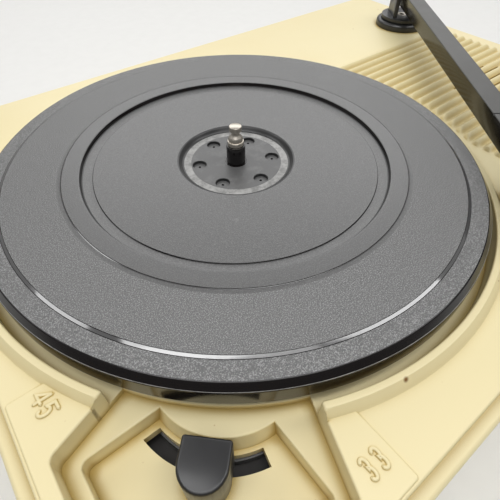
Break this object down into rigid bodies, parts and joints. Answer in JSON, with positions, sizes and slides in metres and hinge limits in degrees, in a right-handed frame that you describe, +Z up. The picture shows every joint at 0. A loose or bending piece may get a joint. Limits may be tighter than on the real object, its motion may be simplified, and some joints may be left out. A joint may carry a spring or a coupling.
{
  "type": "record player",
  "caption": "Portable record player: cream plastic case, black friction-driven platter, straight pick-up arm that swings and lifts, ribbed speaker grille, two dials and a corner speed lever.",
  "frame": {"origin": "on the table, under the middle of the case, at the underside of the feet", "axes": "+X to the user's right, where the arm is; +Y to the back; +Z up"},
  "size_m": [0.31, 0.232, 0.099],
  "materials": {
    "cream_plastic": "moulded, satin gloss",
    "black_gloss": "glossy moulded",
    "black_textured": "fine sparked texture",
    "dark_plastic": "satin",
    "nickel": "dull nickel plate",
    "steel": "zinc plated",
    "lamination": "varnished laminations",
    "zinc": "die cast",
    "brass": "turned",
    "rubber": "matte",
    "nylon": "moulded",
    "paper": "pressed paper",
    "winding": "tape over copper wire",
    "board": "paper laminate",
    "can": "sleeved can",
    "needle_red": "moulded"
  },
  "bodies": {
    "base": {"lower_case": "cream_plastic", "deck": "cream_plastic", "feet": "rubber", "case_screws": "steel", "panel_screws": "steel", "bearing_housing": "zinc", "bearing_bush": "brass", "thrust_pad": "nylon", "motor_plate": "steel", "motor_grommets": "rubber", "motor_mount_screws": "steel", "motor_stack": "lamination", "motor_coil": "winding", "motor_straps": "steel", "motor_bushes": "brass", "motor_spacers": "steel", "motor_screws": "steel", "lever_washer": "nylon", "speaker_frame": "steel", "speaker_cone": "paper", "speaker_magnet": "lamination", "arm_base": "black_gloss", "arm_base_nut": "steel", "arm_rest": "black_textured", "volume_pot": "steel", "tone_pot": "steel", "pot_nuts": "steel", "amp_board": "board", "amp_capacitors": "can", "amp_heatsink": "zinc", "transformer_core": "lamination", "transformer_coil": "winding", "mains_inlet": "dark_plastic", "inlet_pins": "steel"},
    "turntable": {"platter": "black_gloss", "hub_disc": "dark_plastic", "spindle_shaft": "nickel"},
    "rotor": {"motor_rotor": "zinc", "motor_pulley": "brass"},
    "idler_carriage": {"idler_pin": "steel", "idler_clip": "steel"},
    "idler": {"idler_wheel": "nylon", "idler_tyre": "rubber"},
    "lever": {"speed_lever": "dark_plastic", "lever_knob": "black_gloss"},
    "arm_swivel": {"arm_yoke": "black_gloss", "swing_shaft": "nickel", "swing_clip": "steel", "arm_pin": "nickel"},
    "arm": {"arm_tube": "black_textured", "counterweight": "steel", "head_shell": "black_textured", "cartridge": "dark_plastic", "needle": "needle_red"},
    "volume": {"volume_dial": "black_gloss", "volume_shaft": "steel"},
    "tone": {"tone_dial": "black_gloss", "tone_shaft": "steel"}
  },
  "joints": [
    {"name": "platter_spin", "type": "hinge", "parent": "base", "child": "turntable", "pos_m": [-0.05, 0, 0.0781], "axis": [0, 0, 1], "continuous": true},
    {"name": "motor_spin", "type": "hinge", "parent": "base", "child": "rotor", "pos_m": [-0.09729, -0.05789, 0.05725], "axis": [0, 0, 1], "continuous": true},
    {"name": "idler_shift", "type": "slide", "parent": "base", "child": "idler_carriage", "axis": [0, 0, 1], "range_m": [-0.00116, 0.00116]},
    {"name": "idler_spin", "type": "hinge", "parent": "idler_carriage", "child": "idler", "pos_m": [-0.1078, -0.0385, 0.08105], "axis": [0, 0, 1], "continuous": true},
    {"name": "speed_lever", "type": "hinge", "parent": "base", "child": "lever", "pos_m": [-0.09729, -0.05789, 0.05895], "axis": [0, 0, 1], "range_deg": [-20, 20]},
    {"name": "arm_swing", "type": "hinge", "parent": "base", "child": "arm_swivel", "pos_m": [0.1284, 0.06, 0.0833], "axis": [0, 0, 1], "range_deg": [-19, 3]},
    {"name": "arm_lift", "type": "hinge", "parent": "arm_swivel", "child": "arm", "pos_m": [0.1284, 0.06, 0.09395], "axis": [-0.778, 0.6283, 0], "range_deg": [0, 20]},
    {"name": "volume_turn", "type": "hinge", "parent": "base", "child": "volume", "pos_m": [0.087, -0.08, 0.0786], "axis": [0, 0, 1], "range_deg": [-140, 140]},
    {"name": "tone_turn", "type": "hinge", "parent": "base", "child": "tone", "pos_m": [0.123, -0.08, 0.0786], "axis": [0, 0, 1], "range_deg": [-140, 140]}
  ],
  "couplings": [
    {"joint": "motor_spin", "follows": "platter_spin", "ratio": -32.273},
    {"joint": "idler_spin", "follows": "platter_spin", "ratio": 4.6711},
    {"joint": "idler_shift", "follows": "speed_lever", "m_per_rad": 0.0032945}
  ]
}
